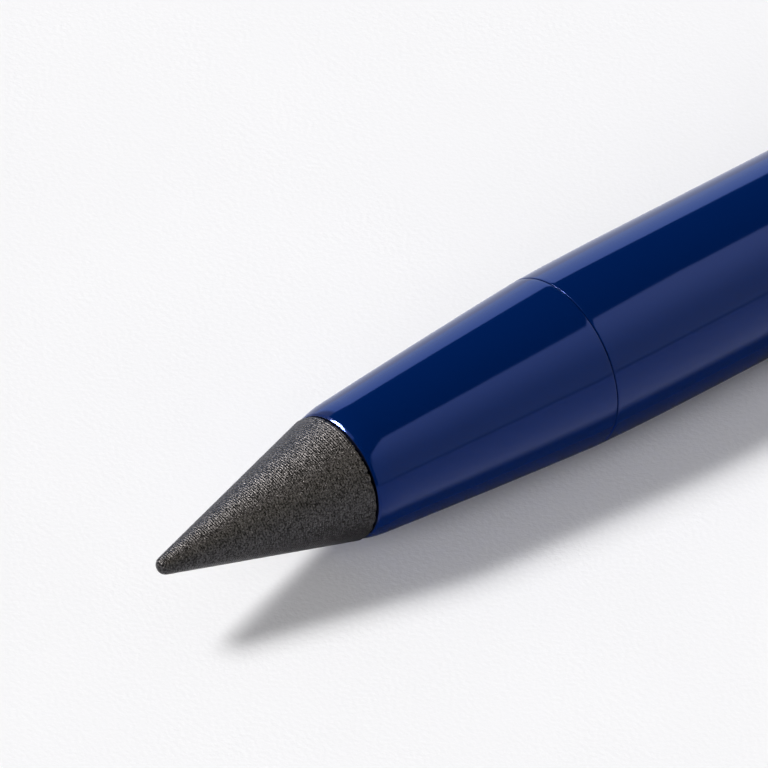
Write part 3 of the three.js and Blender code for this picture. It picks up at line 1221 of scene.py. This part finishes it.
@dataclass
class Barrel(Turned):
    """The lacquered tube with its brass bush and its end plug."""

    body: str = "barrel"
    wall: float = 0.6 * MM
    seam_drop: float = 0.07 * MM
    seam_rounding: float = 0.04 * MM
    seam_fall: float = 0.008 * MM
    seam_fall_length: float = 0.16 * MM
    blend_length: float = 5.0 * MM
    # How many places the outline has at its edge and along its blend
    outline_steps: tuple[int, int] = (4, 30)
    rear_run: float = 1.0 * MM
    bare_depth: float = 0.1 * MM
    thread_clearance: float = 0.05 * MM
    plug_edge: float = 0.5 * MM
    plug_seam: float = 0.06 * MM

    def build(self, lacquer: Lacquer, brass: TurnedBrass) -> None:
        """Make and dress the three pieces.

        Args:
            lacquer: The finish of the tube and the plug.
            brass: The bush's finish.
        """
        bare = TUBE.radius - self.wall + self.bare_depth
        self.hand_over(self.tube(), "barrel", lacquer.slot, lacquer.material("lacquer_tube", bare))
        self.hand_over(self.bush(), "barrel_bush", brass.slot, brass.material())
        self.hand_over(self.plug(), "end_plug", lacquer.slot, lacquer.material("lacquer_plug", 0.0))

    def outer(self, behind: float) -> Corner:
        """The tube's outline: an edge that falls a little to the seam, and a blend from the nose's taper.

        Args:
            behind: How far behind the seam.

        Returns:
            The outline's corner there.
        """
        blend = self.seam_drop * max(0.0, 1 - behind / self.blend_length) ** 2
        fall = self.seam_fall * max(0.0, 1 - behind / self.seam_fall_length) ** 2
        return TUBE.front + behind, TUBE.radius - blend - fall

    def tube(self) -> bpy.types.Object:
        """The tube: its outline, and a straight bore.

        Returns:
            The piece.
        """
        bore = TUBE.radius - self.wall
        edge_steps, blend_steps = self.outline_steps
        edge_end = self.edge_room * self.seam_rounding
        edge = np.linspace(edge_end, self.seam_fall_length, edge_steps, endpoint=False)
        blend = np.linspace(self.seam_fall_length, self.blend_length, blend_steps)
        middle = (TUBE.front, (TUBE.radius - self.seam_drop + bore) / 2)
        corners = [
            middle,
            (*self.outer(0.0), self.seam_rounding),
            *(self.outer(float(behind)) for behind in (*edge, *blend)),
            (TUBE.rear - self.rear_run, TUBE.radius),
            (TUBE.rear, TUBE.radius, self.plug_seam),
            (TUBE.rear, bore, self.break_edge),
            (TUBE.front, bore, self.break_edge),
            middle,
        ]
        return Lathe("barrel_tube", segments=256).turn(corners).make()

    def bush(self) -> bpy.types.Object:
        """The bush: a counterbore for the spigot's pilot, then the thread.

        Returns:
            The piece.
        """
        thread = nose_thread(Fit.NUT)
        pilot = Nose.pilot_radius() + self.thread_clearance
        thread_front = BUSH.front + Nose.pilot_length + self.thread_clearance
        lathe = Lathe("threaded_bush", segments=128)
        lathe.turn(
            [
                (thread_front, pilot),
                (BUSH.front, pilot, self.chamfer / 2),
                (BUSH.front, BUSH.radius, self.break_edge),
                (BUSH.rear, BUSH.radius, self.chamfer),
                (BUSH.rear, pilot),
            ]
        )
        return lathe.tap(thread, thread_front, BUSH.rear, pilot).make()

    def plug(self) -> bpy.types.Object:
        """The plug: a bonded stem, and a head with a flat end and a rounded edge.

        Returns:
            The piece.
        """
        stem = TUBE.radius - self.wall - self.bond
        corners = [
            (PLUG.front, 0.0),
            (PLUG.front, stem, self.chamfer),
            (TUBE.rear, stem),
            (TUBE.rear, PLUG.radius, self.plug_seam),
            (PLUG.rear, PLUG.radius, self.plug_edge),
            (PLUG.rear, 0.0),
        ]
        return Lathe("end_plug_turned", segments=256).turn(corners).make()


# A step of a card's light: between two heights it turns to a colour.
LightStep = tuple[float, float, Colour]

BLACK = tone(0.0, 0.0, 0.0)


@dataclass(frozen=True)
class StudioCard:
    """A long card of the light tent that the gloss mirrors, from one line of y and z to another."""

    name: str
    # The y and z of its two long edges
    low: Pair
    high: Pair
    foot: Colour = BLACK
    steps: tuple[LightStep, ...] = ()
    unlit: Colour = BLACK
    # Lit past this x at height 0; that edge leans along x by the second number for each metre up
    lit_after: Pair = (0.0, 0.0)
    # Lit below this height at x = 0; that edge rises by the second number for each metre along x
    lit_below: Pair = (9.0, 0.0)
    # Half the width over which its leaning edge and its top edge fade
    side_soft: float = 0.03
    top_soft: float = 0.02
    # Its two ends along x
    reach: Pair = (-1.2, 3.0)

    def build(self) -> None:
        """Make the card, which only the gloss sees."""
        (y0, z0), (y1, z1) = self.low, self.high
        x0, x1 = self.reach
        _gloss_only(self.name, [(x0, y0, z0), (x1, y0, z0), (x1, y1, z1), (x0, y1, z1)], self.material())

    def material(self) -> bpy.types.Material:
        """The card's light: it changes with height, starts at a leaning edge and ends below a rising one.

        Returns:
            The material.
        """
        board = Board(self.name)
        x, z = board.axis(0), board.axis(2)
        light = self.foot
        for start, end, colour in self.steps:
            light = board.mix(board.ramp(z, start, end), light, colour)
        foot, lean = self.lit_after
        beside = board.sum("SUBTRACT", x, board.sum("MULTIPLY_ADD", z, lean, foot))
        top, rise = self.lit_below
        above = board.sum("SUBTRACT", z, board.sum("MULTIPLY_ADD", x, rise, top))
        lit = board.sum(
            "MULTIPLY",
            board.ramp(beside, -self.side_soft, self.side_soft),
            board.ramp(above, -self.top_soft, self.top_soft, 1.0, 0.0),
        )
        return board.glow(board.mix(lit, self.unlit, light))


def _gloss_only(
    name: str, corners: Sequence[Point], material: bpy.types.Material, faces: Sequence[Sequence[int]] = ()
) -> bpy.types.Mesh:
    """Make one flat card that only reflections see.

    Args:
        name: Its name.
        corners: Its corners.
        material: Its light.
        faces: The corners of each face, where it has more than one.

    Returns:
        The card's mesh.
    """
    mesh = bpy.data.meshes.new(name)
    mesh.from_pydata(corners, [], faces or [tuple(range(len(corners)))])
    mesh.materials.append(material)
    card = placed(name, mesh)
    for ray in ("camera", "diffuse", "transmission", "volume_scatter", "shadow"):
        setattr(card, f"visible_{ray}", False)
    return mesh


@dataclass(frozen=True)
class GlintCard:
    """A narrow bright strip, high behind the tip, that gives the lip its glint and the tip its sheen."""

    start: Point = (-0.29, 0.73, 0.61)
    end: Point = (-0.48, 0.24, 0.845)
    half_width: float = 0.052
    bow_steps: int = 12
    strength: float = 180.0
    warm: Colour = tone(1.0, 0.95, 0.87)

    def build(self) -> None:
        """Make the strip, whose lower side is straight and whose upper side is bowed."""
        start, end = Vector(self.start), Vector(self.end)
        side = (end - start).cross(start + end).normalized() * self.half_width
        shares = [i / self.bow_steps for i in range(self.bow_steps + 1)]
        bow = [start.lerp(end, share) - side * (1 - 2 * (2 * share - 1) ** 2) for share in shares]
        corners = [tuple(corner) for corner in (*bow, end + side, start + side)]
        _gloss_only("glint_card", corners, Board("glint_card").glow(self.warm, self.strength))


@dataclass(frozen=True)
class PaintedShadowSheet:
    """Painted shadow: a dark sheet on the floor where the pencil's shadow falls, which only the gloss sees,
    and which keeps the gloss dark along the pencil's lower edge.
    """

    lift: float = 0.05 * MM
    light_rise: float = 62.0
    shift: float = 2.0 * MM
    start_gap: float = 0.3 * MM
    soft: float = 1.3 * MM
    # The painted shadow's grey, darker than the shade that the lamps cast on the floor
    grey: Colour = tone(0.045, 0.045, 0.045)

    def build(self) -> None:
        """Make the sheet of painted shadow, which follows the pencil's outline and fades out at its outer
        edge.
        """
        stations = [
            (TIP.rear - self.shift - self.start_gap, TIP.radius),
            (TIP.rear, TIP.radius),
            (NOSE.rear, NOSE.radius),
            (TUBE.rear, TUBE.radius),
        ]
        rise = math.radians(self.light_rise)
        rows = []
        for x, radius in stations:
            middle, reach = -AXIS_HEIGHT / math.tan(rise), radius / math.sin(rise)
            across = (middle - reach - self.soft / 2, middle - reach + self.soft / 2, middle + reach)
            rows.append([(x + self.shift, y, self.lift) for y in across])
        corners = [corner for row in rows for corner in row]
        starts = [3 * i + j for i in range(len(rows) - 1) for j in range(2)]
        faces = [(k, k + 1, k + 4, k + 3) for k in starts]
        board = Board("dark_flag")
        cover = board.add("ShaderNodeAttribute", attribute_name="cover").outputs["Fac"]
        mesh = _gloss_only("dark_flag", corners, board.glow(self.grey, cover=cover), faces)
        shares = mesh.attributes.new("cover", "FLOAT", "POINT")
        shares.data.foreach_set("value", [0.0, 1.0, 1.0] * len(rows))


@dataclass(frozen=True)
class StudioLamp:
    """One far lamp: where it stands as seen from the pencil, how wide it looks, and its strength."""

    name: str
    azimuth: float
    elevation: float
    degrees: float
    strength: float
    colour: Colour = (1.0, 1.0, 1.0)
    floor_only: bool = False

    def build(self, floor: bpy.types.Object) -> None:
        """Set the lamp, which the gloss doesn't mirror.

        Args:
            floor: The floor.
        """
        a, e = math.radians(self.azimuth), math.radians(self.elevation)
        towards = Vector((math.cos(a) * math.cos(e), math.sin(a) * math.cos(e), math.sin(e)))
        data = bpy.data.lights.new(self.name, "SUN")
        data.energy, data.angle, data.color = self.strength, math.radians(self.degrees), self.colour
        lamp = placed(self.name, data)
        lamp.rotation_euler = towards.to_track_quat("Z", "Y").to_euler()
        lamp.visible_glossy = False
        if self.floor_only:
            lit = bpy.data.collections.new(f"{self.name}_lights")
            lit.objects.link(floor)
            lamp.light_linking.receiver_collection = lit


@dataclass(frozen=True)
class Studio:
    """A plain pale floor, two soft key lamps and a fill, a pale surround, a light tent for the gloss and a
    painted shadow under the pencil that only the gloss sees.
    """

    floor_radius: float = 4.0
    floor_white: Colour = tone(0.958, 0.956, 0.962)
    cloud_size: float = 12.0 * MM
    # Between which two values of their noise the clouds fade, and how white the paper is at each
    cloud_range: Pair = (0.3, 0.7)
    cloud_white: Pair = (0.99, 1.0)
    fibre_size: float = 0.22 * MM
    fibre_depth: float = 0.012 * MM
    ambient: float = 0.148
    # The x of the black card beyond the tip, half its width and its height
    end_card: Point = (-1.2, 1.2, 1.1)
    lamps: tuple[StudioLamp, ...] = (
        StudioLamp("key_left", azimuth=143.2, elevation=52.1, degrees=12.0, strength=1.04),
        StudioLamp("key_right", azimuth=126.1, elevation=53.9, degrees=16.5, strength=1.35),
        StudioLamp(
            "fill",
            azimuth=200.0,
            elevation=19.0,
            degrees=38.0,
            strength=2.28,
            colour=(1.0, 0.99, 1.025),
            floor_only=True,
        ),
    )
    tent: tuple[StudioCard, ...] = (
        StudioCard(
            "front_card",
            low=(-1.0, 0.0),
            high=(-0.04, 1.3),
            foot=tone(0.5, 0.5, 0.42),
            steps=((0.03, 0.06, tone(1.05, 1.0, 0.84)), (0.3, 0.85, tone(2.3, 2.08, 1.66))),
            lit_after=(-0.22, 0.27),
            lit_below=(0.657, 0.583),
        ),
        StudioCard("overhead_card", low=(-0.04, 1.3), high=(0.93, 0.615)),
        StudioCard(
            "tip_card",
            low=(-0.04, 1.28),
            high=(0.93, 0.6),
            foot=tone(1.45, 1.36, 1.2),
            lit_after=(-9.0, 0.0),
            reach=(-1.2, -0.17),
        ),
        StudioCard(
            "back_card",
            low=(1.0, 0.0),
            high=(0.93, 0.615),
            foot=tone(0.7, 0.88, 1.35),
            steps=((0.0, 0.6, tone(0.8, 1.12, 1.92)),),
            unlit=tone(0.5, 0.46, 0.36),
            lit_after=(0.24, 0.0),
        ),
        StudioCard(
            "rear_floor_card",
            low=(0.006, 0.0001),
            high=(0.9, 0.0001),
            foot=tone(0.7, 0.73, 0.83),
            lit_after=(-9.0, 0.0),
        ),
    )
    glint: GlintCard = field(default_factory=GlintCard)
    # Painted shadow under the pencil, for the gloss only
    painted_shadow: PaintedShadowSheet = field(default_factory=PaintedShadowSheet)

    def build(self) -> None:
        """Set the floor, the lamps, the surround and the cards."""
        floor = self.floor()
        self.surround()
        for lamp in self.lamps:
            lamp.build(floor)
        for card in (*self.tent, self.glint, self.painted_shadow):
            card.build()
        x, y, z = self.end_card
        corners = [(x, -y, 0.0), (x, y, 0.0), (x, y, z), (x, -y, z)]
        _gloss_only("end_card", corners, Board("end_card").glow(BLACK))

    def floor(self) -> bpy.types.Object:
        """A wide disc of pale paper under the pencil.

        Returns:
            The floor.
        """
        mesh = bpy.data.meshes.new("floor")
        work = bmesh.new()
        bmesh.ops.create_circle(work, cap_ends=True, segments=96, radius=self.floor_radius)
        work.to_mesh(mesh)
        work.free()
        floor = placed("floor", mesh)
        board = Board("floor_paper")
        clouds = board.ramp(board.grain(self.cloud_size, detail=3.0), *self.cloud_range, *self.cloud_white)
        paper = board.mix(clouds, BLACK, self.floor_white)
        board.set(base_color=paper, roughness=1.0, specular_ior_level=0.0)
        board.relief(board.grain(self.fibre_size, detail=3.0), self.fibre_depth)
        mesh.materials.append(board.material)
        return floor

    def surround(self) -> None:
        """A soft grey surround that the camera and the gloss see as white."""
        world = bpy.data.worlds.new("surround")
        world.use_nodes = True
        nodes, links = world.node_tree.nodes, world.node_tree.links
        rays = nodes.new("ShaderNodeLightPath")
        seen = rays.outputs["Is Camera Ray"]
        for name in ("Is Glossy Ray", "Is Transmission Ray"):
            either = nodes.new("ShaderNodeMath")
            either.operation = "MAXIMUM"
            links.new(seen, either.inputs[0])
            links.new(rays.outputs[name], either.inputs[1])
            seen = either.outputs[0]
        strength = nodes.new("ShaderNodeMath")
        strength.operation = "MULTIPLY_ADD"
        strength.inputs[1].default_value = 1.0 - self.ambient
        strength.inputs[2].default_value = self.ambient
        links.new(seen, strength.inputs[0])
        background = nodes["Background"]
        background.inputs["Color"].default_value = tone(1.0, 1.0, 1.0)
        links.new(strength.outputs[0], background.inputs["Strength"])
        bpy.context.scene.world = world
        bpy.context.scene.view_settings.view_transform = "Standard"


@dataclass(frozen=True)
class PhotoCamera:
    """The photograph's camera, placed by where the pencil's point stands in the picture."""

    azimuth: float = -40.70
    elevation: float = 36.55
    distance: float = 0.6
    lens: float = 670.2
    sensor: float = 36.0
    frame_width: int = 768
    point_pixel: Pair = (157.9, 568.7)

    def build(self) -> None:
        """Set the camera."""
        a, e = math.radians(self.azimuth), math.radians(self.elevation)
        back = Vector((math.sin(a) * math.cos(e), -math.cos(a) * math.cos(e), math.sin(e)))
        right = Vector((math.cos(a), math.sin(a), 0.0))
        up = back.cross(right)
        per_pixel = self.distance * self.sensor / self.lens / self.frame_width
        off_right = (self.frame_width / 2 - self.point_pixel[0]) * per_pixel
        off_up = (self.point_pixel[1] - self.frame_width / 2) * per_pixel
        point = Vector((TIP.front, 0.0, AXIS_HEIGHT))
        eye = point + right * off_right + up * off_up + back * self.distance
        data = bpy.data.cameras.new("camera")
        data.lens, data.sensor_width = self.lens, self.sensor
        data.clip_start, data.clip_end = 0.01, 20.0
        camera = placed("camera", data)
        camera.matrix_world = Matrix.Translation(eye) @ Matrix((right, up, back)).transposed().to_4x4()
        bpy.context.scene.camera = camera


def main() -> None:
    """Build the camera and the studio, then every sub-assembly from the tip to the barrel's end."""
    logging.basicConfig(level=logging.INFO, format="%(name)s: %(message)s")
    PhotoCamera().build()
    Studio().build()
    lacquer, brass = Lacquer(), TurnedBrass()
    Tip().build(TipAlloy(), brass)
    Seals().build(MouldedRubber())
    Nose().build(lacquer, brass)
    Barrel().build(lacquer, brass)


if __name__ == "__main__":
    main()
